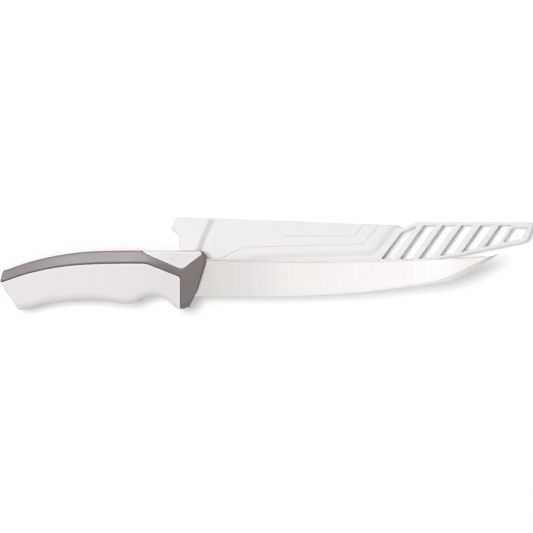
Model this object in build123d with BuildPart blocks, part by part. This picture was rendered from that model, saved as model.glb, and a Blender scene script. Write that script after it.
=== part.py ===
from build123d import *
import math
import os

# Fillet knife with its moulded sheath, in millimetres. The blade points along +X with its edge
# towards -Y, and +Z is up from the surface that both lie on. The origin is the middle of the
# footprint on that surface. The sheath lies on its back, and the knife lies across its lower lip.

# Driving sizes of the knife
handle_length = 126.0
handle_height = 36.0
handle_thickness = 21.0
blade_length = 177.0
blade_height = 22.6
blade_thickness = 2.0
tip_thickness = 1.2
edge_land = 0.25
grind_turn = 1.4

# Driving sizes of the sheath
sheath_length = 220.4
sheath_height = 34.0
hood_length = 22.0
hood_thickness = 14.0
body_thickness = 8.4
rim_thickness = 5.6
wall = 1.3
rim_width = 1.6
blade_slot = 2.8

# How the two lie together: the hood's lower edge stays beside the handle's upper line, its mouth
# is level with the guard's shoulder, and the guard rests on the sheath's body.
hood_drop = 20.4
hood_roof = 4.1
laid_gap = 0.2
rest_gap = 0.3
mouth_lag = 0.4
overrun = 5.0

# Handle: sections along its length, each with its place, upper line, lower line and thickness
section_shares = [
    (-0.033, 0.415, 1.102, 0.930),
    (0.030, 0.328, 1.050, 0.927),
    (0.093, 0.246, 1.000, 0.930),
    (0.153, 0.182, 0.953, 0.954),
    (0.214, 0.129, 0.910, 0.980),
    (0.275, 0.085, 0.874, 0.993),
    (0.336, 0.051, 0.847, 1.000),
    (0.457, 0.014, 0.836, 1.000),
    (0.554, 0.002, 0.869, 0.980),
    (0.593, 0.000, 0.888, 0.959),
    (0.631, 0.000, 0.895, 0.930),
    (0.653, 0.001, 0.872, 0.908),
    (0.675, 0.002, 0.836, 0.880),
    (0.700, 0.003, 0.796, 0.847),
    (0.724, 0.005, 0.763, 0.810),
    (0.743, 0.006, 0.753, 0.777),
    (0.762, 0.007, 0.756, 0.740),
    (0.781, 0.007, 0.772, 0.701),
    (0.800, 0.007, 0.800, 0.660),
    (0.816, 0.007, 0.836, 0.625),
    (0.832, 0.007, 0.880, 0.590),
    (0.847, 0.007, 0.926, 0.557),
    (0.862, 0.007, 0.965, 0.530),
    (0.895, 0.007, 0.990, 0.500),
    (1.040, 0.007, 0.990, 0.490),
]
butt_shares = [(0.098, 1.068), (0.002, 0.517), (0.016, 0.322), (0.030, -0.100)]
guard_front_shares = [
    (0.983, -0.100), (0.985, 0.050), (1.000, 0.112), (0.995, 0.186),
    (0.964, 0.525), (0.922, 0.915), (0.871, 0.985), (0.871, 1.068),
]
section_round_share = 0.32
butt_thickness_share = section_shares[0][3]
guard_thickness_share = section_shares[-1][3]

# Grip: the band along the spine that dives under the thumb ramp and opens into the guard
grip_skin = 2.2
grip_proud = 0.3
ramp_start_share = (0.692, 0.000)
ramp_shares = [(0.869, 0.290), (0.891, 0.286), (0.976, 0.064), (1.060, -0.150)]
band_lower_shares = [
    (0.008, 0.531), (0.142, 0.376), (0.287, 0.271), (0.433, 0.224), (0.578, 0.210), (0.714, 0.217),
]
band_corner_shares = [(0.862, 0.427), (0.871, 0.466), (0.871, 1.100)]
band_start_share = (-0.050, 0.600)

# Blade: outline as shares of its length and height, from the spine at the guard
spine_drop = 4.9
spine_shares = [(0.000, 0.000), (0.183, 0.046), (0.390, 0.062), (0.597, 0.032), (0.872, -0.041), (1.000, -0.135)]
edge_shares = [
    (-0.033, 1.000), (0.148, 1.008), (0.321, 0.986), (0.493, 0.911), (0.666, 0.770),
    (0.803, 0.630), (0.872, 0.459), (0.941, 0.149), (1.000, -0.135),
]
bevel_shares = [
    (-0.033, 0.927), (0.148, 0.932), (0.321, 0.911), (0.493, 0.838), (0.666, 0.725),
    (0.803, 0.566), (0.872, 0.392), (0.941, 0.090), (0.978, -0.125),
]
bevel_spine_shares = [(0.000, 0.000), (0.183, 0.046), (0.390, 0.062), (0.597, 0.032), (0.872, -0.041), (0.978, -0.125)]

# Tang: hidden in the handle, held by two posts of the core that pass through it
tang_reach = 92.0
tang_height = 11.0
tang_drop = 10.0
tang_shoulder = 24.0
tang_neck = 14.0
post_radius = 2.4
post_pitch = 34.0
post_setback = 9.0

# Sheath: outline as shares of its length and height, from the upper corner of its nose
rim_shares = [
    (0.096, 0.020), (0.616, 0.143), (0.637, 0.197), (0.672, 0.088), (1.001, 0.088), (0.986, 0.443),
    (0.785, 0.702), (0.605, 0.862), (0.356, 0.975), (0.072, 1.003), (0.064, 0.930), (0.076, 0.570),
]
rim_round_shares = [0, 0.0181, 0.0136, 0.0181, 0.0109, 0.0318, 0.2722, 0.4083, 0.6806, 0.0068, 0.0045, 0]
hood_shares = [
    (0.012, 0.000), (-0.003, 0.201), (0.021, 0.336), (0.021, 0.600), (0.071, 0.600), (0.104, 0.084), (0.104, 0.025),
]
hood_round_shares = [0.0036, 0.0045, 0.0054, 0.0023, 0.0023, 0.0091, 0]
foot_shares = [
    (0.085, 0.030), (0.606, 0.150), (0.611, 0.210), (0.564, 0.570), (0.544, 0.636),
    (0.356, 0.662), (0.230, 0.697), (0.140, 0.866), (0.069, 0.925), (0.078, 0.560),
]
foot_round_shares = [0, 0.0045, 0.0054, 0.0181, 0.0181, 0.2722, 0.0544, 0.0544, 0.0023, 0]
face_shares = [
    (0.087, 0.035), (0.581, 0.150), (0.560, 0.245), (0.525, 0.488), (0.356, 0.519), (0.194, 0.538),
    (0.137, 0.731), (0.072, 0.880), (0.080, 0.560),
]
face_round_shares = [0, 0.0045, 0.0136, 0.0136, 0.1815, 0.0363, 0.0363, 0.0023, 0]
pad_shares = [(0.265, 0.060), (0.303, 0.336), (0.500, 0.345), (0.529, 0.126)]
pad_round_shares = [0.0023, 0.0068, 0.0068, 0.0023]
step_height = 0.4
rim_edge_round = 1.0
foot_edge_round = 0.9
step_edge_bevel = 0.35
hood_edge_round = 1.2
cavity_shares = [
    (0.050, 0.230), (0.200, 0.130), (0.560, 0.185), (0.520, 0.620), (0.356, 0.640), (0.225, 0.680),
    (0.130, 0.850), (0.050, 0.890),
]
mouth_shares = [(0.040, 0.230), (0.120, 0.230), (0.120, 0.935), (0.040, 0.935)]

# Vents: slanted ribs across the sheath's end, front and back ones staggered
vent_zone_shares = [
    (0.576, 0.745), (0.633, 0.273), (0.677, 0.147), (0.936, 0.147), (0.903, 0.480), (0.785, 0.645), (0.680, 0.745),
]
vent_pitch_share = 0.0526
rib_width = 4.3
first_rib_share = 0.675
back_rib_lag = 1.8
rib_lean = 0.72
rib_count = 6
hang_hole_shares = [(0.942, 0.190), (0.983, 0.190), (0.967, 0.385), (0.914, 0.452)]
hang_hole_round = 0.5

# Places worked out from the sizes
hood_half = hood_thickness / 2
face_half = body_thickness / 2
rim_half = rim_thickness / 2
slot_half = blade_slot / 2
terrace_half = face_half - step_height
pad_half = face_half + step_height
guard_half = handle_thickness * guard_thickness_share / 2 + grip_proud
butt_half = handle_thickness * butt_thickness_share / 2 + grip_proud
laid_aside = hood_drop + laid_gap - hood_roof
shoulder_place = handle_length * band_corner_shares[-1][0]
nose_place = shoulder_place - mouth_lag - sheath_length * hood_shares[2][0]
rest_place = nose_place + sheath_length * rim_shares[-2][0]
vent_pitch = sheath_length * vent_pitch_share

# The sheath leans on the hood's back and on its far end
sheath_lean = math.atan((hood_half - rim_half) / (sheath_length - hood_length))
sheath_rise = hood_half * math.cos(sheath_lean) + hood_length * math.sin(sheath_lean)

# The knife leans on its butt and, at the guard, on the sheath's body
rest_height = (
    sheath_rise - (rest_place - nose_place) * math.sin(sheath_lean) + face_half * math.cos(sheath_lean) + rest_gap
)
rest_fall = butt_half - guard_half
knife_lean = math.asin(rest_height / math.hypot(rest_place, rest_fall)) - math.atan2(rest_fall, rest_place)

# Footprint: from the butt's upper corner to the sheath's far end, and from belly to hood
butt_overhang = butt_half * math.sin(knife_lean)
overall_length = butt_overhang + nose_place + sheath_length
overall_width = handle_height + laid_aside + hood_roof
butt_x = butt_overhang - overall_length / 2
handle_top_y = overall_width / 2 - laid_aside - hood_roof
sheath_plane = Plane(
    origin=(butt_x + nose_place, overall_width / 2, sheath_rise),
    x_dir=(math.cos(sheath_lean), 0, -math.sin(sheath_lean)),
    z_dir=(math.sin(sheath_lean), 0, math.cos(sheath_lean)),
)
sheath_up = Axis(sheath_plane.origin, sheath_plane.z_dir)
knife_plane = Plane(
    origin=(butt_x, handle_top_y, butt_half * math.cos(knife_lean)),
    x_dir=(math.cos(knife_lean), 0, math.sin(knife_lean)),
    z_dir=(-math.sin(knife_lean), 0, math.cos(knife_lean)),
)
blade_plane = knife_plane.offset(0)
blade_plane.origin = knife_plane.from_local_coords((handle_length, -spine_drop, 0))


def on_handle(share):
    return (share[0] * handle_length, -share[1] * handle_height)


def on_blade(share):
    return (share[0] * blade_length, -share[1] * blade_height)


def on_sheath(share):
    return (share[0] * sheath_length, -share[1] * sheath_height)


def handle_form(inset, sections):
    """The handle's rounded body, lofted through the sections, drawn in by the inset all round."""
    with BuildPart() as form:
        for place, upper, lower, thickness in sections:
            middle = -(upper + lower) / 2 * handle_height
            plane = Plane(
                origin=knife_plane.from_local_coords((place * handle_length, middle, 0)),
                x_dir=knife_plane.y_dir,
                z_dir=knife_plane.x_dir,
            )
            deep = thickness * handle_thickness
            with BuildSketch(plane):
                RectangleRounded(
                    (lower - upper) * handle_height - inset * 2,
                    deep - inset * 2,
                    deep * section_round_share - inset,
                )
        loft(ruled=True)
        with BuildSketch(knife_plane):
            Polygon(*[on_handle(share) for share in butt_shares + guard_front_shares], align=None)
            if inset:
                offset(amount=-inset, kind=Kind.INTERSECTION)
        extrude(amount=handle_thickness, both=True, mode=Mode.INTERSECT)
    return form.part


def grip_zone():
    """Everything inside the grip's outline, right through the handle."""
    with BuildPart() as zone:
        with BuildSketch(knife_plane):
            with BuildLine():
                lower = Spline(*[on_handle(share) for share in band_lower_shares])
                Polyline(lower @ 1, *[on_handle(share) for share in band_corner_shares])
                far = (handle_length + overrun, band_corner_shares[-1][1] * -handle_height)
                Polyline(
                    on_handle(band_corner_shares[-1]),
                    far,
                    (handle_length + overrun, handle_height * -ramp_shares[-1][1]),
                    *[on_handle(share) for share in reversed(ramp_shares)],
                    on_handle(ramp_start_share),
                    (ramp_start_share[0] * handle_length, overrun),
                    (-overrun, overrun),
                    on_handle(band_start_share),
                    lower @ 0,
                )
            make_face()
        extrude(amount=handle_thickness, both=True)
    return zone.part


def blade_face(plane, back_shares, cutting_shares):
    """A flat outline of the blade between its spine and a line along its edge."""
    with BuildSketch(plane) as face:
        with BuildLine():
            back = Spline(*[on_blade(share) for share in back_shares])
            cutting = Spline(*[on_blade(share) for share in cutting_shares])
            Line(back @ 0, cutting @ 0)
        make_face()
    return face.sketch


def sheath_outline(shares, round_shares):
    """A closed outline on the weld plane, with each corner rounded by its share of the length."""
    with BuildSketch(sheath_plane) as outline:
        with BuildLine():
            FilletPolyline(
                [on_sheath(share) for share in shares],
                radius=[share * sheath_length for share in round_shares],
                close=True,
            )
        make_face()
    return outline.sketch


def sheath_layer(shares, round_shares, height, edge_size):
    """A plate of the given outline, with its outer face's edge rounded, or bevelled where it is a fine step."""
    with BuildPart() as layer:
        extrude(sheath_outline(shares, round_shares), amount=height)
        rim = layer.faces().sort_by(sheath_up)[-1].edges()
        if edge_size > step_height:
            fillet(rim, radius=edge_size)
        else:
            chamfer(rim, length=edge_size)
    return layer.part


def sheath_half(rib_start):
    """One half of the sheath, standing up from the plane where the two halves are welded."""
    layers = [
        sheath_layer(rim_shares, rim_round_shares, rim_half, rim_edge_round),
        sheath_layer(foot_shares, foot_round_shares, terrace_half, foot_edge_round),
        sheath_layer(face_shares, face_round_shares, face_half, step_edge_bevel),
        sheath_layer(pad_shares, pad_round_shares, pad_half, step_edge_bevel),
        sheath_layer(hood_shares, hood_round_shares, hood_half, hood_edge_round),
    ]
    with BuildPart() as half:
        add(layers)

        # Room for the guard under the hood, open at the nose and below
        with BuildSketch(sheath_plane):
            Polygon(
                (-overrun, -wall - sheath_height * rim_shares[0][1]),
                (sheath_length * hood_shares[5][0] - wall * 2, -wall - sheath_height * rim_shares[0][1]),
                (sheath_length * hood_shares[4][0] - wall, sheath_height * -hood_shares[4][1] - overrun),
                (-overrun, sheath_height * -hood_shares[4][1] - overrun),
                align=None,
            )
        extrude(amount=hood_half - wall, mode=Mode.SUBTRACT)

        # Room for the blade: wide in the body, a narrow slot inside the rim
        with BuildSketch(sheath_plane):
            Polygon(*[on_sheath(share) for share in rim_shares], align=None)
            offset(amount=-rim_width, kind=Kind.INTERSECTION)
            Polygon(*[on_sheath(share) for share in mouth_shares], align=None)
        extrude(amount=slot_half, mode=Mode.SUBTRACT)
        with BuildSketch(sheath_plane):
            Polygon(*[on_sheath(share) for share in cavity_shares], align=None)
        extrude(amount=face_half - wall, mode=Mode.SUBTRACT)

        # Vents between the ribs, and the hole to hang it by
        with BuildSketch(sheath_plane):
            Polygon(*[on_sheath(share) for share in vent_zone_shares], align=None)
            top = -vent_zone_shares[2][1] * sheath_height + overrun
            bottom = -sheath_height
            for place in range(-1, rib_count):
                left = rib_start + place * vent_pitch
                high = left + rib_lean * overrun
                low = high - rib_lean * (top - bottom)
                Polygon(
                    (high, top), (high + rib_width, top), (low + rib_width, bottom), (low, bottom),
                    align=None, mode=Mode.SUBTRACT,
                )
        extrude(amount=hood_half, mode=Mode.SUBTRACT)
        with BuildSketch(sheath_plane):
            with BuildLine():
                FilletPolyline(*[on_sheath(share) for share in hang_hole_shares], radius=hang_hole_round, close=True)
            make_face()
        extrude(amount=hood_half, mode=Mode.SUBTRACT)
    return half.part


os.makedirs("parts", exist_ok=True)

outer_form = handle_form(0, section_shares)
inner_form = handle_form(grip_skin, section_shares[::2])
proud_form = handle_form(-grip_proud, section_shares)
zone = grip_zone()
taper_turn = math.degrees(math.atan((blade_thickness - tip_thickness) / 2 / blade_length))

# Blade and tang, one piece of steel: flat faces that thin towards the tip, with a ground bevel
middle_outline = {}
for side in (1, -1):
    upper_plane = blade_plane.offset(side * blade_thickness / 2).rotated((side * grind_turn, side * taper_turn, 0))
    middle_outline[side] = blade_face(upper_plane, bevel_spine_shares, bevel_shares)
    middle_outline[side, "land"] = blade_face(blade_plane.offset(side * edge_land / 2), spine_shares, edge_shares)
with BuildPart() as blade:
    for side in (1, -1):
        loft([middle_outline[side, "land"].face(), middle_outline[side].face()], ruled=True)
    add(blade_face(blade_plane.offset(-edge_land / 2), spine_shares, edge_shares))
    extrude(amount=edge_land)
    with BuildSketch(knife_plane.offset(-blade_thickness / 2)):
        with BuildLine():
            FilletPolyline(
                (handle_length + wall, -spine_drop),
                (handle_length - tang_shoulder, -tang_drop),
                (handle_length - tang_reach, -tang_drop),
                (handle_length - tang_reach, -tang_drop - tang_height),
                (handle_length - tang_shoulder, -tang_drop - tang_height),
                (handle_length - tang_neck, -spine_drop - blade_height + wall),
                (handle_length + wall, -spine_drop - blade_height + wall),
                radius=[0, wall, tang_height / 3, tang_height / 3, wall, wall, 0],
                close=True,
            )
        make_face()
        for place in range(2):
            with Locations(
                (handle_length - tang_reach + post_setback + place * post_pitch, -tang_drop - tang_height / 2)
            ):
                Circle(post_radius, mode=Mode.SUBTRACT)
    extrude(amount=blade_thickness)
blade.part.label = "blade"
export_step(blade.part, "parts/blade.step")

# Core: the hard white moulding, cut back by the grip's skin and closed round the tang
grip_pocket = zone - inner_form
with BuildPart() as handle_core:
    add(outer_form)
    add(grip_pocket, mode=Mode.SUBTRACT)
    add(blade.part, mode=Mode.SUBTRACT)
handle_core.part.label = "handle_core"
export_step(handle_core.part, "parts/handle_core.step")

# Grip: the soft overmoulded band and guard, a little proud of the core
with BuildPart() as soft_grip:
    add(proud_form)
    add(grip_pocket, mode=Mode.INTERSECT)
    add(blade.part, mode=Mode.SUBTRACT)
soft_grip.part.label = "soft_grip"
export_step(soft_grip.part, "parts/soft_grip.step")

# Sheath: two moulded halves welded together along the blade's plane
front_half = sheath_half(sheath_length * first_rib_share)
back_half = sheath_half(sheath_length * first_rib_share + back_rib_lag)
with BuildPart() as sheath_front:
    add(front_half)
sheath_front.part.label = "sheath_front"
export_step(sheath_front.part, "parts/sheath_front.step")

with BuildPart() as sheath_back:
    add(back_half)
    mirror(about=sheath_plane, mode=Mode.REPLACE)
sheath_back.part.label = "sheath_back"
export_step(sheath_back.part, "parts/sheath_back.step")
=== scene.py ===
import bmesh
import bpy
import numpy as np
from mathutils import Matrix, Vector
from mathutils.geometry import delaunay_2d_cdt


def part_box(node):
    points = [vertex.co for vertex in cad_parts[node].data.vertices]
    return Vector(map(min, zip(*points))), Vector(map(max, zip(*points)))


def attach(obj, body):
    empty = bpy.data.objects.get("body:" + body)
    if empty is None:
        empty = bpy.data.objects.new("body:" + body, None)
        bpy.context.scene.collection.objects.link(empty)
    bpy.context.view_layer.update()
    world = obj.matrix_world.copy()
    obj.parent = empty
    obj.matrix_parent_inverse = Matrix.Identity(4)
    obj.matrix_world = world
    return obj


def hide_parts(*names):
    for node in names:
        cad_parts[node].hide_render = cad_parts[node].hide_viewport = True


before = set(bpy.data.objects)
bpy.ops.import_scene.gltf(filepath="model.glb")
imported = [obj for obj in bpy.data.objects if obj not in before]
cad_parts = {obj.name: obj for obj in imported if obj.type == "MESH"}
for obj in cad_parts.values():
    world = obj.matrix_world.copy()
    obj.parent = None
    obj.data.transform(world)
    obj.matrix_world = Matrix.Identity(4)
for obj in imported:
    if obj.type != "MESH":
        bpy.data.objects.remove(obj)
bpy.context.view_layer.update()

# Camera: straight above the set, as in the photograph, through a long lens. The photograph's
# 533 pixels span 0.3261 m of the table, and its middle lies just beside the set's own middle.
picture_width = 0.3261
camera_height = 3.2
camera_place = (-0.0006, -0.0017, camera_height)
camera_data = bpy.data.cameras.new("camera")
camera_data.sensor_width = 36.0
camera_data.lens = camera_data.sensor_width * camera_height / picture_width
camera = bpy.data.objects.new("camera", camera_data)
camera.location = camera_place
bpy.context.scene.collection.objects.link(camera)
bpy.context.scene.camera = camera
bpy.context.scene.view_settings.view_transform = "Standard"

# Table: a matt white sheet that shows white where nothing shades it. Part of its white is a glow that
# only the camera and reflections see, so that the set is not lit by it and its shadows stay pale.
table_albedo = 0.80
table_glow = 0.27
table_reach = 6.0


def new_material(name):
    """An empty node material with its Principled shader and its output already linked."""
    material = bpy.data.materials.new(name)
    material.use_nodes = True
    return material, material.node_tree.nodes, material.node_tree.links


def add_node(nodes, kind, **values):
    """A node with the named properties set, or else the sockets of those names."""
    node = nodes.new(kind)
    for key, value in values.items():
        if hasattr(node, key):
            setattr(node, key, value)
        else:
            node.inputs[key.replace("_", " ")].default_value = value
    return node


table_mesh = bpy.data.meshes.new("table")
corners = [
    (-table_reach, -table_reach, 0), (table_reach, -table_reach, 0), (table_reach, table_reach, 0),
    (-table_reach, table_reach, 0),
]
table_mesh.from_pydata(corners, [], [(0, 1, 2, 3)])
table = bpy.data.objects.new("table", table_mesh)
bpy.context.scene.collection.objects.link(table)
material, nodes, links = new_material("table_white")
shader = nodes["Principled BSDF"]
shader.inputs["Base Color"].default_value = (table_albedo, table_albedo, table_albedo, 1)
shader.inputs["Roughness"].default_value = 0.9
shader.inputs["Specular IOR Level"].default_value = 0.1
light_path = nodes.new("ShaderNodeLightPath")
glow = add_node(nodes, "ShaderNodeEmission", Color=(1, 1, 1, 1))
seen = add_node(nodes, "ShaderNodeMath", operation="MAXIMUM")
links.new(light_path.outputs["Is Camera Ray"], seen.inputs[0])
links.new(light_path.outputs["Is Glossy Ray"], seen.inputs[1])
share = add_node(nodes, "ShaderNodeMath", operation="MULTIPLY")
share.inputs[1].default_value = table_glow
links.new(seen.outputs[0], share.inputs[0])
links.new(share.outputs[0], glow.inputs["Strength"])
both = nodes.new("ShaderNodeAddShader")
links.new(shader.outputs[0], both.inputs[0])
links.new(glow.outputs[0], both.inputs[1])
links.new(both.outputs[0], nodes["Material Output"].inputs["Surface"])
table_mesh.materials.append(material)

# Light: an even pale room, and a lamp high on the left whose shadow is short, soft and falls to the
# right. Three screens give sheen alone: one overhead, one low at the far side, one at the near side.
world = bpy.data.worlds.new("room")
world.use_nodes = True
world.node_tree.nodes["Background"].inputs["Color"].default_value = (1, 1, 1, 1)
world.node_tree.nodes["Background"].inputs["Strength"].default_value = 0.4
bpy.context.scene.world = world


def area_lamp(name, place, aim, width, depth, power):
    """A rectangular lamp at a place, turned towards its aim."""
    lamp = bpy.data.lights.new(name, "AREA")
    lamp.shape = "RECTANGLE"
    lamp.size = width
    lamp.size_y = depth
    lamp.energy = power
    body = bpy.data.objects.new(name, lamp)
    bpy.context.scene.collection.objects.link(body)
    offset = np.array(aim, float) - np.array(place, float)
    turn = np.arctan2(np.hypot(offset[0], offset[1]), -offset[2])
    body.location = place
    body.rotation_euler = (turn, 0, np.arctan2(-offset[0], offset[1]))
    return body


overhead_lamp = area_lamp("overhead_lamp", (-0.62, 0.2, 2.25), (0, 0, 0), 0.75, 0.75, 33.0)
overhead_lamp.visible_glossy = False
overhead_screen = area_lamp("overhead_screen", (-0.45, -0.7, 3.6), (-0.45, -0.7, 0), 3.2, 4.6, 35.5)
overhead_screen.visible_diffuse = False
far_screen = area_lamp("far_screen", (-0.2, 2.4, 0.95), (0, 0, 0), 2.4, 0.7, 75.0)
far_screen.visible_diffuse = False
near_screen = area_lamp("near_screen", (0.0, -2.4, 0.6), (0, 0, 0), 3.0, 1.2, 6.0)
near_screen.visible_diffuse = False

# Knife frame: the blade's own plane, found from its CAD solid as the direction in which the
# solid is thinnest. Lengths along it start at the butt, heights at the handle's upper line.
blade_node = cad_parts["blade"]
points = np.empty(len(blade_node.data.vertices) * 3)
blade_node.data.vertices.foreach_get("co", points)
points = points.reshape(-1, 3)
middle = (points.max(0) + points.min(0)) / 2
knife_up = np.linalg.svd(points - points.mean(0), full_matrices=False)[2][2]
knife_up = knife_up * np.sign(knife_up[2])
knife_along = np.cross((0.0, 1.0, 0.0), knife_up)
knife_along = knife_along / np.linalg.norm(knife_along)
knife_up = np.cross(knife_along, (0.0, 1.0, 0.0))
handle_length = 0.126
grip_proud = 0.0003
handle_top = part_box("soft_grip")[1][1] - grip_proud
blade_end = points[points[:, 0].argmax()]
blade_reach = 0.177
butt = blade_end - knife_along * (handle_length + blade_reach)
knife_origin = butt - knife_up * np.dot(butt - middle, knife_up)
knife_origin[1] = handle_top


def on_knife(along, height, out):
    """World places of points given along, above and out of the blade's plane, as whole arrays."""
    places = knife_origin + along[..., None] * knife_along + out[..., None] * knife_up
    places[..., 1] = handle_top + height
    return places


# Handle skin: the moulded surface that the core and the grip share, in millimetres from the
# butt and from the upper line. Each half section runs from the spine over a sloping facet and
# a flat side to the belly. Columns lean with the slanted butt and with the guard's front.
upper_line = [
    (1.4, -12.49), (5.4, -10.96), (11.5, -8.82), (17.6, -6.87), (23.7, -5.25), (29.8, -3.86),
    (36.0, -2.72), (42.1, -1.81), (48.2, -1.08), (54.3, -0.59), (60.4, -0.28), (72.6, -0.02),
    (84.8, 0.0), (109.6, -0.1), (119.5, -0.12), (121.9, -0.2), (122.6, -0.55), (123.1, -1.5),
    (124.0, -2.25), (125.0, -2.75), (125.8, -3.94),
]
belly_line = [
    (10.3, -35.5), (13.0, -35.75), (17.6, -35.06), (23.7, -33.41), (29.8, -32.0), (36.0, -31.09),
    (42.1, -30.48), (54.3, -30.05), (66.5, -30.85), (72.6, -31.7), (77.7, -32.15), (81.8, -31.4),
    (84.8, -30.05), (87.9, -28.34), (94.0, -27.0), (100.1, -28.53), (103.7, -31.1), (107.0, -34.3),
    (109.6, -35.24), (116.0, -32.92),
]
band_line = [
    (0.8, -19.07), (17.6, -13.52), (36.0, -9.74), (54.3, -8.03), (72.6, -7.54), (84.0, -7.55),
    (88.6, -7.65), (90.4, -8.1), (92.4, -8.9), (97.1, -10.78), (103.2, -13.28), (108.7, -15.53),
    (109.6, -16.45),
]
ramp_line = [
    (87.0, -0.16), (88.2, -0.95), (91.0, -2.42), (97.1, -5.16), (103.2, -7.91), (107.6, -9.85),
    (109.0, -10.35), (111.4, -10.4), (112.4, -9.95), (116.6, -6.69), (121.5, -3.03), (122.9, -2.1),
]
butt_line = [(-35.5, 10.3), (-27.43, 5.4), (-19.5, 0.6), (-18.28, 0.2), (-12.49, 1.4), (0.0, 5.0)]
front_line = [
    (-36.0, 113.4), (-32.92, 114.9), (-24.2, 119.5), (-15.5, 122.4), (-6.69, 125.1), (-4.2, 125.4),
    (-3.1, 125.1), (-2.4, 124.4), (-1.6, 123.4), (0.0, 122.9),
]
half_thickness = [
    (0.0, 9.75), (11.7, 9.8), (27.0, 10.25), (42.3, 10.45), (57.6, 10.45), (69.8, 10.2),
    (79.5, 9.75), (85.0, 9.2), (91.2, 8.45), (96.0, 7.7), (100.8, 6.9), (104.8, 6.2), (108.6, 5.6),
    (112.8, 5.3), (126.0, 5.2),
]
facet_line = [(0, 0.46), (60, 0.46), (84, 0.47), (92, 0.42), (100, 0.6), (106, 0.8), (126, 0.84)]
guard_place = 109.6
guard_end = 125.8
ramp_place = 87.0


def through(knots, at):
    """A smooth curve through the knots: cubic pieces, each knot's slope that of its neighbours' chord."""
    x, y = np.array(knots, float).T
    slopes = np.empty_like(y)
    slopes[1:-1] = (y[2:] - y[:-2]) / (x[2:] - x[:-2])
    slopes[0] = (y[1] - y[0]) / (x[1] - x[0])
    slopes[-1] = (y[-1] - y[-2]) / (x[-1] - x[-2])
    at = np.clip(at, x[0], x[-1])
    piece = np.clip(np.searchsorted(x, at, side="right") - 1, 0, len(x) - 2)
    span = x[piece + 1] - x[piece]
    t = (at - x[piece]) / span
    return (
        (2 * t**3 - 3 * t**2 + 1) * y[piece] + (t**3 - 2 * t**2 + t) * span * slopes[piece]
        + (3 * t**2 - 2 * t**3) * y[piece + 1] + (t**3 - t**2) * span * slopes[piece + 1]
    )


def eased(steps, near_start=True, near_end=True):
    """Shares from 0 to 1, closer together at the chosen ends: half a cosine wave, or a quarter of one."""
    t = np.linspace(0, 1, steps)
    if near_start and near_end:
        return (1 - np.cos(np.pi * t)) / 2
    return 1 - np.cos(np.pi * t / 2) if near_start else np.sin(np.pi * t / 2)


def rounded_corner(before, corner, after, radius, steps):
    """An arc of a radius in the corner of two lines: the rational quadratic through its tangent points."""
    back, on = before - corner, after - corner
    back_length, on_length = np.hypot(*back), np.hypot(*on)
    back, on = back / back_length, on / on_length
    half_turn = np.arccos(np.clip(-(back @ on), -1, 1)) / 2
    reach = min(radius * np.tan(half_turn), back_length * 0.48, on_length * 0.48)
    weight = np.cos(half_turn)
    t = np.linspace(0, 1, steps)[:, None]
    first, last = corner + back * reach, corner + on * reach
    above = (1 - t) ** 2 * first + 2 * weight * t * (1 - t) * corner + t**2 * last
    return above / ((1 - t) ** 2 + 2 * weight * t * (1 - t) + t**2)


def half_section(top, bottom, facet_end, thick, facet_start, squareness):
    """Half a section as rows of (height, out): straight sides joined by arcs at spine, facet and belly."""
    corners = np.array([(top, 0.0), (top, facet_start), (facet_end, thick), (bottom, thick), (bottom, 0.0)])
    rows = [corners[:1]]
    for number, radius in ((1, 2.2 * squareness), (2, 3.0 * squareness), (3, 6.5)):
        rows.append(rounded_corner(corners[number - 1], corners[number], corners[number + 1], radius, 14))
    rows.append(corners[-1:])
    line = np.concatenate(rows)
    reach = np.concatenate([[0], np.cumsum(np.hypot(*np.diff(line, axis=0).T))])
    return line, reach


def column_at(place, height):
    """Where the column of a place stands at a height: it leans like the butt near it, by a power of the
    distance, and like the guard's front beyond the guard's shoulder, in proportion."""
    fade = np.clip(1 - (place - 1.6) / 34.0, 0, 1) ** 1.5
    leant = place + fade * through(butt_line, height)
    share = np.clip((place - guard_place) / (guard_end - guard_place), 0, 1.2)
    beyond = guard_place + share * (through(front_line, height) - guard_place)
    return np.where(place > guard_place, beyond, leant)


def column_section(place):
    """The half section of one column, and the shares of its length at the ramp's and the band's edges."""
    heights = np.linspace(-36, 0, 181)
    places = column_at(np.full(181, place), heights)
    top_gap = heights - through(upper_line, places)
    top = heights[np.argmin(np.abs(top_gap))]
    for _ in range(4):
        top = through(upper_line, column_at(place, top))
    bottom = -35.0
    for _ in range(4):
        bottom = through(belly_line, column_at(place, bottom))
    band = -12.0
    ramp = -5.0
    for _ in range(6):
        band = through(band_line, column_at(place, band)) if place < guard_place else -16.45
        ramp = min(through(ramp_line, column_at(place, ramp)), top - 0.05)
    if place < ramp_place:
        ramp = top - 0.05
    thick = through(half_thickness, place)
    guard_share = np.clip((place - guard_place + 3.0) / 6.0, 0, 1)
    guard_share = guard_share * guard_share * (3 - 2 * guard_share)
    facet_end = band * (1 - guard_share) + min(ramp, top - 1.2) * guard_share
    facet_start = thick * through(facet_line, place)
    squareness = np.interp(place, [84, 100], [1.0, 0.2])
    line, reach = half_section(top, bottom, facet_end, thick, facet_start, squareness)
    edge_ramp = np.interp(-ramp, -line[:, 0], reach) / reach[-1]
    edge_band = np.interp(-band, -line[:, 0], reach) / reach[-1]
    return line, reach / reach[-1], max(edge_ramp, 0.006), edge_band


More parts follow.
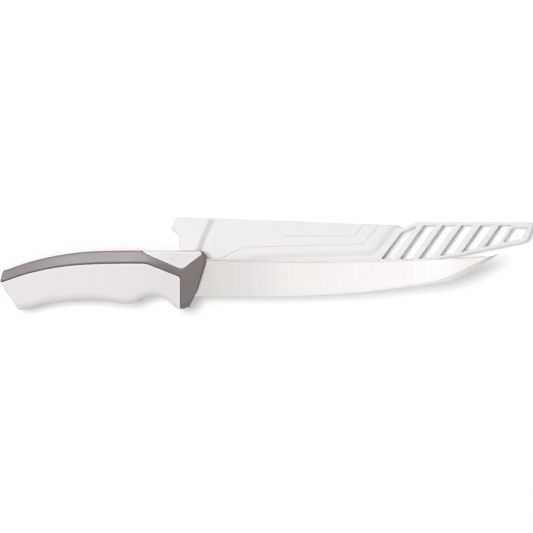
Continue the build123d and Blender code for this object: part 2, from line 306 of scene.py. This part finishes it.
def skin_points(place, shares, lift):
    """Rows of (along, height, out) at shares of one half section, lifted along its outward normal."""
    line, reach, _, _ = column_section(place)
    height, out = np.interp(shares, reach, line[:, 0]), np.interp(shares, reach, line[:, 1])
    step = 0.004
    after, before = np.minimum(shares + step, 1), np.maximum(shares - step, 0)
    rise = np.interp(after, reach, line[:, 0]) - np.interp(before, reach, line[:, 0])
    run = np.interp(after, reach, line[:, 1]) - np.interp(before, reach, line[:, 1])
    size = np.hypot(rise, run)
    along = column_at(np.full(len(shares), place), height)
    return np.stack([along, height + lift * run / size, out - lift * rise / size], axis=1)


def mirrored(rows):
    """The same points on the handle's other side."""
    return rows * np.array([1.0, 1.0, -1.0])


def grid_mesh(name, blocks):
    """One mesh of several grids of (along, height, out) points in millimetres, welded at their borders."""
    points, faces, start = [], [], 0
    for block in blocks:
        rows, columns = block.shape[:2]
        points.append(block.reshape(-1, 3))
        corner = np.arange((rows - 1) * columns).reshape(rows - 1, columns)[:, :-1] + start
        square = [corner, corner + columns, corner + columns + 1, corner + 1]
        faces.append(np.stack(square, axis=-1).reshape(-1, 4))
        start += rows * columns
    points, faces = np.concatenate(points) * 0.001, np.concatenate(faces)
    mesh = bpy.data.meshes.new(name)
    mesh.from_pydata(on_knife(points[:, 0], points[:, 1], points[:, 2]).tolist(), [], faces.tolist())
    work = bmesh.new()
    work.from_mesh(mesh)
    bmesh.ops.remove_doubles(work, verts=work.verts, dist=0.00002)
    bmesh.ops.dissolve_degenerate(work, edges=work.edges, dist=0.00001)
    bmesh.ops.recalc_face_normals(work, faces=work.faces)
    work.to_mesh(mesh)
    work.free()
    mesh.shade_smooth()
    body = bpy.data.objects.new(name, mesh)
    bpy.context.scene.collection.objects.link(body)
    return body


def knife_places(body):
    """Where a body's points stand in the knife frame, as rows of (along, height, out) in millimetres."""
    points = np.empty(len(body.data.vertices) * 3)
    body.data.vertices.foreach_get("co", points)
    offset = points.reshape(-1, 3) - knife_origin
    return np.stack([offset @ knife_along * 1000, offset[:, 1] * 1000, offset @ knife_up * 1000], axis=1)


def edge_distance(points, lines):
    """Distance in the handle's side view from each point to the nearest of the boundary lines."""
    flat = points.reshape(-1, 3)[:, :2]
    nearest = np.full(len(flat), 1e9)
    for line in lines:
        for start in range(0, len(flat), 4000):
            part = flat[start:start + 4000]
            gap = np.hypot(part[:, None, 0] - line[None, :, 0], part[:, None, 1] - line[None, :, 1]).min(1)
            nearest[start:start + 4000] = np.minimum(nearest[start:start + 4000], gap)
    return nearest.reshape(points.shape[:-1])


def boundary_lines():
    """The lines in the side view along which grip and core meet, as dense points."""
    below = np.linspace(0.8, guard_place, 900)
    above = np.linspace(ramp_place, 122.9, 400)
    down = np.linspace(-36, -16.45, 160)
    return [
        np.stack([below, through(band_line, below)], axis=1),
        np.stack([above, through(ramp_line, above)], axis=1),
        np.stack([np.full(160, guard_place), down], axis=1),
    ]


meeting_lines = boundary_lines()

# Handle core: the hard white moulding under the hand, from the slanted butt to the thumb ramp and
# on under the guard. Its surface sinks into a fine groove where the grip begins.
core_sink = 0.6
sink_reach = 0.45
places = np.concatenate([
    np.linspace(1.6, 84.0, 110), np.linspace(84.6, 108.6, 70), np.linspace(108.8, 110.4, 9),
    np.linspace(111.0, 124.7, 30),
])
columns = []
for place in places:
    _, _, edge_ramp, edge_band = column_section(place)
    shares = np.concatenate([
        edge_ramp * eased(12, near_start=False), edge_ramp + (edge_band - edge_ramp) * eased(20)[1:],
        edge_band + (1 - edge_band) * eased(46)[1:],
    ])
    flat = skin_points(place, shares, np.zeros(len(shares)))
    gap = edge_distance(flat, meeting_lines)
    height, along = flat[:, 1], flat[:, 0]
    below_ramp = height < through(ramp_line, along)
    under = (along < guard_place) & (height > through(band_line, along)) & ((along < ramp_place) | below_ramp)
    under |= (along >= guard_place) & below_ramp
    sink = np.where(under, core_sink, core_sink * np.clip(1 - gap / sink_reach, 0, 1) ** 2)
    half = skin_points(place, shares, -sink)
    columns.append(np.concatenate([half, mirrored(half[::-1])[1:]]))
core_grid = np.array(columns)
end_round = 1.6


def cap_rings(ring, direction, radius, steps, inner):
    """Rings that round an end off and close it: the end's own ring, drawn towards its middle plane and moved
    along by the cosine and the sine of a quarter turn."""
    centre = ring[:, :2].mean(0)
    reach = np.abs(ring[:, 2]).max()
    rings = []
    for turn in np.linspace(0, np.pi / 2, steps)[1:]:
        drawn = ring.copy()
        drawn[:, 2] *= 1 - radius / reach * (1 - np.cos(turn))
        drawn[:, 1] = centre[1] + (ring[:, 1] - centre[1]) * (1 - radius / 18.0 * (1 - np.cos(turn)))
        drawn[:, 0] += direction * radius * np.sin(turn)
        rings.append(drawn)
    last = rings[-1]
    for share in inner:
        drawn = last.copy()
        drawn[:, 2] *= share
        rings.append(drawn)
    return rings


butt_rings = cap_rings(core_grid[0], -1, end_round, 8, (0.8, 0.5, 0.2, 0.0))
front_rings = cap_rings(core_grid[-1], 1, 0.8, 4, (0.6, 0.0))
core_grid = np.concatenate([butt_rings[::-1], core_grid, front_rings])
core = grid_mesh("handle_moulding", [core_grid])
# Painted highlight: the core's white is mixed towards a lighter white near its seam with the grip.
seam_highlight_reach = 1.1
seam_highlight = core.data.attributes.new("seam_highlight", "FLOAT", "POINT")
nearness = np.clip(1 - edge_distance(knife_places(core), meeting_lines) / seam_highlight_reach, 0, 1)
seam_highlight.data.foreach_set("value", nearness ** 0.7)
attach(core, "knife")
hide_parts("handle_core")

# Grip: the soft grey rubber moulded over the core. One band lies over the spine, parts round the
# thumb ramp into two arms, and widens into the guard. It stands proud and its edges roll into the groove.
grip_proud_mm = grip_proud * 1000
roll_depth = 0.55
roll_reach = 1.15


def grip_column(place, shares):
    """A grip column lifted proud of the skin, and rolled down by the square of its nearness to a seam."""
    flat = skin_points(place, shares, np.zeros(len(shares)))
    gap = edge_distance(flat, meeting_lines)
    roll = np.clip(1 - gap / roll_reach, 0, 1) ** 2 * np.clip((123.4 - flat[:, 0]) / 2.5, 0, 1)
    return skin_points(place, shares, grip_proud_mm - (grip_proud_mm + roll_depth) * roll)


band_places = np.concatenate([np.linspace(1.6, 84.0, 110), np.linspace(84.6, ramp_place, 8)])
band_grid = []
for place in band_places:
    edge_band = column_section(place)[3]
    half = grip_column(place, edge_band * eased(26, near_start=False))
    band_grid.append(np.concatenate([mirrored(half)[::-1], half[1:]]))
band_grid = np.array(band_grid)
band_rings = cap_rings(band_grid[0], -1, end_round, 8, ())
band_blocks = [np.concatenate([band_rings[::-1], band_grid])]

arm_places = np.concatenate([np.linspace(ramp_place, 106.0, 64), np.linspace(106.4, guard_place, 12)])
arm = []
for place in arm_places:
    _, _, edge_ramp, edge_band = column_section(place)
    if place == ramp_place:
        edge_ramp = 0.0
    spread = eased(26) if place > ramp_place else eased(26, near_start=False)
    arm.append(grip_column(place, edge_ramp + (edge_band - edge_ramp) * spread))
arm = np.array(arm)

guard_shares = np.concatenate([eased(30, near_end=False) * 0.86, [0.885, 0.905, 0.922, 0.935]])
guard_places = guard_place + (guard_end - guard_place) * guard_shares
guard = []
for place in guard_places:
    _, _, edge_ramp, edge_band = column_section(place)
    if column_at(place, -2.1) > 122.9:
        edge_ramp = 0.0
    upper = edge_ramp + (edge_band - edge_ramp) * eased(26)
    shares = np.concatenate([upper, edge_band + (1 - edge_band) * eased(30)[1:]])
    half = grip_column(place, shares)
    guard.append(np.concatenate([half, mirrored(half[::-1])[1:]]))
guard = np.array(guard)
guard_rings = cap_rings(guard[-1], 1, 0.9, 6, (0.7, 0.4, 0.0))
guard = np.concatenate([guard, guard_rings])
grip = grid_mesh("handle_grip", band_blocks + [arm, mirrored(arm), guard])
# Painted shade: the grip's grey darkens towards the groove along its seam with the core.
groove_shade_reach = 0.8
groove_shade = grip.data.attributes.new("groove", "FLOAT", "POINT")
nearness = np.clip(1 - edge_distance(knife_places(grip), meeting_lines) / groove_shade_reach, 0, 1)
groove_shade.data.foreach_set("value", nearness)
shell = grip.modifiers.new("shell", "SOLIDIFY")
shell.thickness = 0.0012        # the rubber's own wall
shell.offset = -1
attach(grip, "knife")
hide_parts("soft_grip")

# Blade: one long plate of steel, ground flat on both faces so that it thins towards edge and tip,
# with a bevel along the edge, a chamfered back, and a narrow tang hidden in the handle.
spine_line = [
    (34.0, -10.2), (40.0, -10.0), (98.0, -10.0), (106.0, -9.0), (114.0, -5.4), (120.0, -4.9),
    (126.0, -4.9), (158.4, -5.94), (195.0, -6.3), (231.7, -5.62), (280.3, -3.97), (303.0, -1.85),
]
edge_line = [
    (34.0, -20.8), (40.0, -21.0), (98.0, -21.0), (106.0, -23.0), (112.0, -27.0), (120.2, -27.5),
    (152.2, -27.68), (182.8, -27.18), (213.3, -25.49), (243.9, -22.3), (268.1, -19.14),
    (280.3, -15.27), (292.6, -8.27), (303.0, -1.95),
]
bevel_width = [
    (34.0, 1.0), (112.0, 1.6), (213.3, 1.6), (243.9, 1.4), (262.0, 1.7), (268.1, 2.2),
    (275.0, 3.0), (280.3, 3.4), (286.0, 3.3), (292.6, 2.6), (297.0, 2.0), (300.0, 1.2),
    (303.0, 0.05),
]
blade_half = [(34.0, 1.0), (126.0, 1.0), (303.0, 0.6)]
grind_slope = 0.031
spine_chamfer = 0.9
chamfer_drop = 0.36
thinnest = 0.12
edge_half = 0.06


def blade_column(place):
    """Half a section of the blade as (along, height, out): flat back, chamfer, ground face and bevel."""
    spine, edge, half = through(spine_line, place), through(edge_line, place), through(blade_half, place)
    tall = spine - edge
    width = min(through(bevel_width, place), tall * 0.7)
    chamfer = min(spine_chamfer, (tall - width) * 0.4)
    faced = half * min(1, 0.2 + tall / 4)
    drop = min(chamfer_drop, faced * 0.5)
    rows = [(spine, 0.0), (spine, (faced - drop) * 0.5), (spine, faced - drop)]
    rows += [(spine - chamfer / 2, faced - drop / 2), (spine - chamfer, faced)]
    for share in (0.015, 0.25, 0.5, 0.75, 0.985, 1.0):
        out = max(faced - grind_slope * (tall - width) * share, thinnest)
        rows.append((spine - chamfer - (tall - width - chamfer) * share, out))
    low = rows[-1][1]
    for share in (0.03, 0.5, 1.0):
        rows.append((edge + width * (1 - share), low + (edge_half - low) * share))
    rows.append((edge, 0.0))
    height, out = np.array(rows).T
    return np.stack([np.full(len(rows), place), height, out], axis=1)


blade_places = np.concatenate([
    np.linspace(34.0, 40.0, 4), np.linspace(46.0, 120.0, 26), np.linspace(122.0, 270.0, 120),
    np.linspace(270.8, 302.4, 60), [302.8, 303.0],
])
blade_grid = []
for place in blade_places:
    half = blade_column(place)
    blade_grid.append(np.concatenate([half, mirrored(half[::-1])[1:]]))
blade_grid = np.array(blade_grid)
flat_end = blade_grid[[0]] * (1, 1, 0)
sharp_end = blade_grid[[-1]] * (1, 1, 0)
blade = grid_mesh("blade_skin", [np.concatenate([flat_end, blade_grid, sharp_end])])
blade.data.set_sharp_from_angle(angle=np.radians(40))
along, height, _ = knife_places(blade).T
# Painted dark reflection: the bevel's colour is darkened towards the point, from 225 mm on over 40 mm.
ground = blade.data.attributes.new("ground", "FLOAT", "POINT")
on_bevel = height < through(edge_line, along) + through(bevel_width, along) - 0.02
ground.data.foreach_set("value", np.where(on_bevel, np.clip((along - 225) / 40, 0, 1), 0.0))
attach(blade, "knife")
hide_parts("blade")

# Sheath: two white plastic halves, moulded and welded along their middle plane. Each is a plate with
# a raised body that ends in a soft foot, fine grooves, a hood for the guard, and slanted vents.
# Places are in millimetres along the sheath from its mouth and up from its upper edge.
sheath_origin = np.array([-0.0575425, 0.0283, 0.00746405])
sheath_along = np.array([0.999776, 0.0, -0.021165])
sheath_up = np.array([0.021165, 0.0, 0.999776])
plate_line = [
    (21.16, -0.68, 0), (135.77, -4.86, 4), (140.39, -6.7, 3), (148.11, -2.99, 4),
    (221.1, -2.99, 2.0), (216.6, -15.06, 6), (173.01, -23.87, 60), (133.34, -29.31, 90),
    (78.46, -33.15, 150), (15.87, -34.1, 1.5), (14.11, -31.62, 1), (16.75, -19.38, 0),
]
hood_line = [
    (1.9, 0, 0.8), (-1.4, -6.83, 1), (3.6, -11.42, 1.2), (3.6, -20.4, 0.5), (17.5, -20.4, 0),
    (22.92, -2.86, 0), (22.92, -0.75, 0),
]
foot_line = [
    (138.0, -2.0, 0), (134.66, -7.14, 1.2), (124.31, -19.9, 4), (119.9, -22.4, 4),
    (78.46, -23.5, 60), (50.69, -24.9, 12), (30.86, -30.8, 12), (10.0, -34.3, 0), (10.0, 6.0, 0),
    (138.0, 6.0, 0),
]
groove_line = [
    (129.3, -0.5, 0), (125.3, -5.33, 1), (116.0, -16.4, 3), (78.46, -17.5, 40), (42.76, -18.29, 8),
    (30.19, -24.85, 8), (10.0, -34.0, 0), (10.0, 6.0, 0), (129.3, 6.0, 0),
]
pad_line = [
    (55.5, 1.0, 0), (66.78, -11.5, 1.5), (110.2, -11.7, 1.5), (121.0, 1.0, 0), (121.0, 6.0, 0),
    (55.5, 6.0, 0),
]
hang_hole_line = [
    (207.62, -6.46, 0.5), (216.65, -6.46, 0.5), (213.13, -13.09, 0.5), (201.45, -15.37, 0.5),
]
vent_zone = [
    (126.95, -25.33, 0), (139.51, -9.28, 0), (149.21, -5.0, 0), (206.29, -5.0, 0),
    (199.02, -16.32, 0), (173.01, -21.93, 0), (149.87, -25.33, 0),
]
guard_room = [(-5.0, -1.98, 0), (20.32, -1.98, 0), (14.35, -25.4, 0), (-5.0, -25.4, 0)]
blade_room = [
    (11.02, -7.82, 0), (44.08, -4.42, 0), (123.42, -6.29, 0), (114.61, -21.08, 0),
    (78.46, -21.76, 0), (49.59, -23.12, 0), (28.65, -28.9, 0), (11.02, -30.26, 0),
]
blade_mouth = [(8.82, -7.82, 0), (26.45, -7.82, 0), (26.45, -31.79, 0), (8.82, -31.79, 0)]
hood_step_line = [(14.0, -20.44, 0), (20.0, -20.44, 0), (20.0, -20.5, 0), (14.0, -20.5, 0)]
hood_step = -20.47
hood_half = 7.0
crease_start, crease_end = np.array([15.4, -20.4]), np.array([22.9, -2.9])
crease_way = (crease_end - crease_start) / np.hypot(*(crease_end - crease_start))
crease_across = np.array([-crease_way[1], crease_way[0]])
plate_half = 2.8
foot_rise = 1.45
vent_pitch = 11.593
rib_width = 4.3
rib_lean = 0.72
rib_fall = 34
plan_grain = 0.09


def closed_line(corners):
    """A closed outline through corners given with their radii: each corner with a radius becomes its arc."""
    corners = np.array(corners, float)
    rows = []
    for number, (x, y, radius) in enumerate(corners):
        before, here = corners[number - 1, :2], corners[number, :2]
        after = corners[(number + 1) % len(corners), :2]
        rows.append(rounded_corner(before, here, after, radius, 7) if radius else here[None])
    return np.concatenate(rows)


def cut_up(line, step=1.0):
    """The same closed outline with its straights cut into equal steps."""
    rows = []
    for start, end in zip(line, np.roll(line, -1, axis=0)):
        shares = np.linspace(0, 1, max(int(np.ceil(np.hypot(*(end - start)) / step)), 1), endpoint=False)
        rows.append(start + (end - start) * shares[:, None])
    return np.concatenate(rows)


def signed_gap(points, line):
    """Distance from points to a closed outline's nearest stretch, above zero inside by the crossing rule."""
    starts, ends = line, np.roll(line, -1, axis=0)
    way = ends - starts
    square = np.maximum((way ** 2).sum(1), 1e-12)
    result = np.empty(len(points))
    for first in range(0, len(points), 3000):
        part = points[first:first + 3000]
        gap = part[:, None] - starts[None]
        share = np.clip((gap * way[None]).sum(2) / square, 0, 1)
        distance = np.sqrt(((gap - share[..., None] * way[None]) ** 2).sum(2)).min(1)
        above = (starts[None, :, 1] > part[:, None, 1]) != (ends[None, :, 1] > part[:, None, 1])
        level = np.abs(way[:, 1]) <= 1e-12
        slope = np.where(level, 0, way[:, 0] / np.where(level, 1, way[:, 1]))
        crossing = starts[None, :, 0] + (part[:, None, 1] - starts[None, :, 1]) * slope[None]
        inside = (above & (part[:, None, 0] < crossing)).sum(1) % 2 == 1
        result[first:first + 3000] = np.where(inside, distance, -distance)
    return result


def beside(line, gaps):
    """Points beside a closed outline: its cut up straights moved to both sides by each gap."""
    dense = cut_up(line)
    way = np.roll(dense, -1, axis=0) - np.roll(dense, 1, axis=0)
    normal = np.stack([-way[:, 1], way[:, 0]], axis=1) / np.maximum(np.hypot(*way.T), 1e-9)[:, None]
    rings = []
    for gap in gaps:
        for moved in (dense + normal * gap, dense - normal * gap):
            rings.append(moved[np.abs(signed_gap(moved, line)) > gap * 0.93])
    return np.concatenate(rings)


def softened(value):
    """From 0 to 1 with level ends: 3 t squared less 2 t cubed."""
    value = np.clip(value, 0, 1)
    return value * value * (3 - 2 * value)


def rounding(gap, radius):
    """How far a rounded edge has fallen at a gap from its wall: a quarter circle."""
    near = np.clip(1 - gap / radius, 0, 1)
    return radius * (1 - np.sqrt(1 - near**2 * 0.995))


plate = closed_line(plate_line)
hood = closed_line(hood_line)
foot = closed_line(foot_line)
groove = closed_line(groove_line)
pad = closed_line(pad_line)
hang_hole = closed_line(hang_hole_line)
zone = closed_line(vent_zone)
hood_step_loop = closed_line(hood_step_line)
rooms = [(closed_line(guard_room), 5.7), (closed_line(blade_room), 2.9), (closed_line(blade_mouth), 1.4)]


def vent_ribs(rib_start):
    """The outlines of one half's ribs: slanted bars across the vents' zone, one pitch apart."""
    ribs = []
    for number in range(-1, 6):
        high = rib_start + number * vent_pitch + rib_lean * 5.0
        low = high - rib_lean * rib_fall
        upper = [(high, 0, 0), (high + rib_width, 0, 0)]
        lower = [(low + rib_width, -rib_fall, 0), (low, -rib_fall, 0)]
        ribs.append(closed_line(upper + lower))
    return ribs


def loose_points(ribs, loops):
    """Points for the plan between its outlines: rows beside the outlines and the hood's crease, and an even
    grid, all moved to a fine grain and kept clear of the outlines."""
    spread = [beside(plate, (0.06, 0.2, 0.45, 0.75, 1.1, 1.57, 1.63)), beside(hood, (0.08, 0.3, 0.65, 1.0))]
    spread.append(beside(foot, (0, 0.05, 0.4, 0.9, 1.4, 1.9, 2.4, 2.9, 3.4)))
    spread += [beside(line, (0, 0.15, 0.3, 0.45, 0.65, 0.9)) for line in (groove, pad)]
    spread.append(beside(hang_hole, (0.08, 0.25, 0.6)))
    spread += [beside(line, (0.08, 0.3)) for line in [zone] + ribs]
    crease = np.linspace(-2, 23, 34)[:, None] * crease_way + crease_start
    spread += [crease + gap * crease_across for gap in np.linspace(-2.6, 2.6, 14)]
    grid = np.meshgrid(np.arange(-1, 221.5, 1.25), np.arange(-34.5, 0.5, 1.25), indexing="ij")
    spread.append(np.stack(grid, axis=-1).reshape(-1, 2))
    loose = np.concatenate(spread)
    loose = loose[(signed_gap(loose, plate) > 0.03) | (signed_gap(loose, hood) > 0.03)]
    loose = np.unique(np.round(loose / plan_grain).astype(int), axis=0) * plan_grain
    nearest = np.min([np.abs(signed_gap(loose, loop)) for loop in loops], axis=0)
    return loose[nearest > plan_grain / 2]


def half_plan(ribs):
    """The plan of one half as flat points and triangles, which leave out the vents and the hanging hole.
    Every outline at which a height jumps is an edge of the plan."""
    loops = [plate, hood, hang_hole, zone] + ribs + [hood_step_loop]
    for room, _ in rooms:
        within = beside(room, (0.06,))
        loops += [room, within[signed_gap(within, room) > 0]]
    points, edges, count = [], [], 0
    for loop in loops:
        points.append(cut_up(loop))
        number = np.arange(len(points[-1])) + count
        edges += list(zip(number.tolist(), np.roll(number, -1).tolist()))
        count += len(number)
    points = np.concatenate(points + [loose_points(ribs, loops)])
    found = delaunay_2d_cdt([Vector(point) for point in points.tolist()], edges, [], 0, 1e-5)
    flat, triangles = np.array([tuple(point) for point in found[0]]), np.array(found[2])
    centre = flat[triangles].mean(1)
    solid = (signed_gap(centre, plate) > 0) | (signed_gap(centre, hood) > 0)
    in_rib = np.any([signed_gap(centre, rib) > 0 for rib in ribs], axis=0)
    solid &= ((signed_gap(centre, zone) <= 0) | in_rib) & (signed_gap(centre, hang_hole) < 0)
    return flat, triangles[solid]


def half_heights(flat, ribs):
    """The outer and the inner height of one half at points of its plan. The outer one is the sum of soft
    steps in the distances to the outlines, less a quarter circle at every wall. The inner one follows the
    rooms."""
    in_plate, in_foot = signed_gap(flat, plate), signed_gap(flat, foot)
    outer = np.maximum(in_plate, signed_gap(flat, hood))
    to_rib = np.max([signed_gap(flat, rib) for rib in ribs], axis=0)
    to_vent = np.maximum(-signed_gap(flat, zone), to_rib)
    to_hole = -signed_gap(flat, hang_hole)
    shoulder, root = np.clip(1 - in_foot / 3.3, 0, 1), np.clip(1 + in_foot / 1.5, 0, 1)
    near_mouth = softened((24 - flat[:, 0]) / 8)
    foot_share = np.where(in_foot > 0, 1 - 0.6875 * shoulder**2, 0.3125 * root**2)
    level = plate_half + foot_rise * foot_share * (1 - 0.5 * near_mouth)
    for line in (groove, pad):
        gap = signed_gap(flat, line)
        level += 0.4 * softened((gap + 0.1) / 0.7) - 0.3 * np.clip(1 - np.abs(gap + 0.3) / 0.45, 0, 1) ** 2
    crease = (flat - crease_start) @ crease_across
    hooded = softened((crease + 2.3) / 4.6) * (flat[:, 1] > hood_step)
    level = level * (1 - hooded) + hood_half * hooded
    hood_round = np.interp(flat[:, 1], [-20.0, -18.6], [0.3, 1.3])
    top = level - rounding(outer, np.where(level > 5, hood_round, 1.0))
    top = top - rounding(np.maximum(to_vent, 0), 0.4) - rounding(np.maximum(to_hole, 0), 0.6)
    under = np.where(in_plate > 1.6, 1.4, 0.0)
    for room, height in rooms:
        under = np.where(signed_gap(flat, room) > 0.03, np.maximum(under, height), under)
    return top, np.minimum(under, top - 0.8)


def sheath_skin(name, rib_start, side):
    """One half of the sheath: its plan at the outer and the inner height, and a wall at every border."""
    ribs = vent_ribs(rib_start)
    flat, triangles = half_plan(ribs)
    top, under = half_heights(flat, ribs)
    total = len(flat)
    way = np.concatenate([triangles[:, [0, 1]], triangles[:, [1, 2]], triangles[:, [2, 0]]])
    _, first, uses = np.unique(np.sort(way, axis=1), axis=0, return_index=True, return_counts=True)
    wall = way[first[uses == 1]]
    quads = np.stack([wall[:, 1], wall[:, 0], wall[:, 0] + total, wall[:, 1] + total], axis=1)
    local = np.concatenate([np.column_stack([flat, top]), np.column_stack([flat, under])])
    local = local * (0.001, 0.001, 0.001 * side)
    places = sheath_origin + local[:, :1] * sheath_along + local[:, 1:2] * np.array([0.0, 1.0, 0.0])
    places = places + local[:, 2:] * sheath_up
    mesh = bpy.data.meshes.new(name)
    faces = triangles.tolist() + (triangles[:, ::-1] + total).tolist() + quads.tolist()
    mesh.from_pydata(places.tolist(), [], faces)
    work = bmesh.new()
    work.from_mesh(mesh)
    bmesh.ops.delete(work, geom=[vertex for vertex in work.verts if not vertex.link_faces], context="VERTS")
    bmesh.ops.recalc_face_normals(work, faces=work.faces)
    work.to_mesh(mesh)
    work.free()
    mesh.shade_smooth()
    mesh.set_sharp_from_angle(angle=np.radians(50))
    body = bpy.data.objects.new(name, mesh)
    bpy.context.scene.collection.objects.link(body)
    return body


sheath_halves = []
for name, node, rib_start, side in (
    ("sheath_front_skin", "sheath_front", 148.77, 1),
    ("sheath_back_skin", "sheath_back", 150.57, -1),
):
    half = sheath_skin(name, rib_start, side)
    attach(half, "sheath")
    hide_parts(node)
    sheath_halves.append(half)


def moulded(name, colour, roughness, specular, grain, depth, drift):
    """A moulded plastic or rubber: even colour with a faint drift, and a fine grain in its surface."""
    material, nodes, links = new_material(name)
    shader = nodes["Principled BSDF"]
    shader.inputs["Specular IOR Level"].default_value = specular
    place = nodes.new("ShaderNodeTexCoord")
    slow = add_node(nodes, "ShaderNodeTexNoise", Scale=38.0, Detail=3.0)
    links.new(place.outputs["Object"], slow.inputs["Vector"])
    tone = add_node(
        nodes, "ShaderNodeMapRange", From_Min=0.3, From_Max=0.7, To_Min=1 - drift, To_Max=1 + drift)
    links.new(slow.outputs["Fac"], tone.inputs["Value"])
    tint = add_node(nodes, "ShaderNodeVectorMath", operation="SCALE")
    tint.inputs[0].default_value = colour
    links.new(tone.outputs["Result"], tint.inputs["Scale"])
    links.new(tint.outputs["Vector"], shader.inputs["Base Color"])
    rough = add_node(nodes, "ShaderNodeMapRange", To_Min=roughness - 0.05, To_Max=roughness + 0.05)
    links.new(slow.outputs["Fac"], rough.inputs["Value"])
    links.new(rough.outputs["Result"], shader.inputs["Roughness"])
    fine = add_node(nodes, "ShaderNodeTexNoise", Scale=grain, Detail=2.0)
    links.new(place.outputs["Object"], fine.inputs["Vector"])
    bump = add_node(nodes, "ShaderNodeBump", Strength=depth, Distance=0.00008)
    links.new(fine.outputs["Fac"], bump.inputs["Height"])
    links.new(bump.outputs["Normal"], shader.inputs["Normal"])
    return material


def edged(material, attribute, colour):
    """The same material with its colour mixed towards another one by the share that an attribute gives."""
    nodes, links = material.node_tree.nodes, material.node_tree.links
    share = add_node(nodes, "ShaderNodeAttribute", attribute_name=attribute)
    mixed = add_node(nodes, "ShaderNodeMix", data_type="RGBA")
    mixed.inputs[7].default_value = (*colour, 1)
    base = nodes["Principled BSDF"].inputs["Base Color"]
    tinted = base.links[0].from_socket
    links.new(share.outputs["Fac"], mixed.inputs[0])
    links.new(tinted, mixed.inputs[6])
    links.new(mixed.outputs[2], base)
    return material


handle_white = moulded("handle_white", (0.792, 0.762, 0.772), 0.40, 0.45, 2600.0, 0.25, 0.006)
# The core's white turns lighter towards the grip's seam: a painted highlight.
core.data.materials.append(edged(handle_white, "seam_highlight", (0.96, 0.94, 0.94)))
grip_grey = moulded("grip_grey", (0.148, 0.119, 0.117), 0.50, 1.0, 1900.0, 0.5, 0.03)
# The grip's grey turns darker towards the groove: painted shade.
grip.data.materials.append(edged(grip_grey, "groove", (0.07, 0.055, 0.054)))
sheath_white = moulded("sheath_white", (0.865, 0.845, 0.855), 0.42, 0.45, 2200.0, 0.25, 0.005)
for half in sheath_halves:
    half.data.materials.append(sheath_white)

# Blade steel: ground bright, with fine grinding lines that run across the blade from spine to edge. Its
# tint brightens from the guard towards the point as in the photograph: that brightening is a painted
# reflection.
tint_start, tint_end = -0.036, 0.139
steel_and_reflection_tints = [
    (0.0, (0.65, 0.625, 0.605)), (0.05, (0.678, 0.66, 0.64)), (0.147, (0.715, 0.69, 0.685)),
    (0.287, (0.81, 0.78, 0.765)), (0.391, (0.827, 0.797, 0.78)), (0.496, (0.848, 0.817, 0.825)),
    (0.705, (0.884, 0.853, 0.86)), (0.81, (0.902, 0.902, 0.902)),
    (0.9, (0.83, 0.80, 0.785)), (1.0, (0.83, 0.80, 0.785)),
]
line_depth = 0.00003


def scaled_tint(nodes, links, colour, share):
    """A colour times a share, both taken from sockets."""
    product = add_node(nodes, "ShaderNodeVectorMath", operation="SCALE")
    links.new(colour, product.inputs[0])
    links.new(share, product.inputs["Scale"])
    return product.outputs["Vector"]


def ground_steel(name):
    """Bright steel with grinding lines in its tint, gloss and surface, a tint that brightens towards the
    point as a painted reflection, and a bevel darkened near the point as a painted dark reflection.
    """
    material, nodes, links = new_material(name)
    shader = nodes["Principled BSDF"]
    shader.inputs["Metallic"].default_value = 1.0
    place = nodes.new("ShaderNodeTexCoord")
    stretch = add_node(nodes, "ShaderNodeMapping", Scale=(1400.0, 18.0, 18.0))
    links.new(place.outputs["Object"], stretch.inputs["Vector"])
    lines = add_node(nodes, "ShaderNodeTexNoise", Scale=1.0, Detail=4.0)
    links.new(stretch.outputs["Vector"], lines.inputs["Vector"])
    apart = nodes.new("ShaderNodeSeparateXYZ")
    links.new(place.outputs["Object"], apart.inputs["Vector"])
    reach = add_node(nodes, "ShaderNodeMapRange", From_Min=tint_start, From_Max=tint_end)
    links.new(apart.outputs["X"], reach.inputs["Value"])
    tone = nodes.new("ShaderNodeValToRGB")
    while len(tone.color_ramp.elements) < len(steel_and_reflection_tints):
        tone.color_ramp.elements.new(0.5)
    for element, (position, colour) in zip(tone.color_ramp.elements, steel_and_reflection_tints):
        element.position = position
        element.color = (*colour, 1)
    links.new(reach.outputs["Result"], tone.inputs["Fac"])
    streak = add_node(nodes, "ShaderNodeMapRange", To_Min=0.93, To_Max=1.07)
    links.new(lines.outputs["Fac"], streak.inputs["Value"])
    tint = scaled_tint(nodes, links, tone.outputs["Color"], streak.outputs["Result"])
    # Painted dark reflection: the bevel's colour darkens by up to a fifth towards the point.
    bevel = add_node(nodes, "ShaderNodeAttribute", attribute_name="ground")
    painted_bevel_shade = add_node(nodes, "ShaderNodeMapRange", To_Min=1.0, To_Max=0.8)
    links.new(bevel.outputs["Fac"], painted_bevel_shade.inputs["Value"])
    links.new(scaled_tint(nodes, links, tint, painted_bevel_shade.outputs["Result"]), shader.inputs["Base Color"])
    gloss = add_node(nodes, "ShaderNodeMapRange", To_Min=0.26, To_Max=0.36)
    links.new(lines.outputs["Fac"], gloss.inputs["Value"])
    links.new(gloss.outputs["Result"], shader.inputs["Roughness"])
    scratch = add_node(nodes, "ShaderNodeBump", Strength=0.12, Distance=line_depth)
    links.new(lines.outputs["Fac"], scratch.inputs["Height"])
    links.new(scratch.outputs["Normal"], shader.inputs["Normal"])
    return material


blade.data.materials.append(ground_steel("blade_steel"))
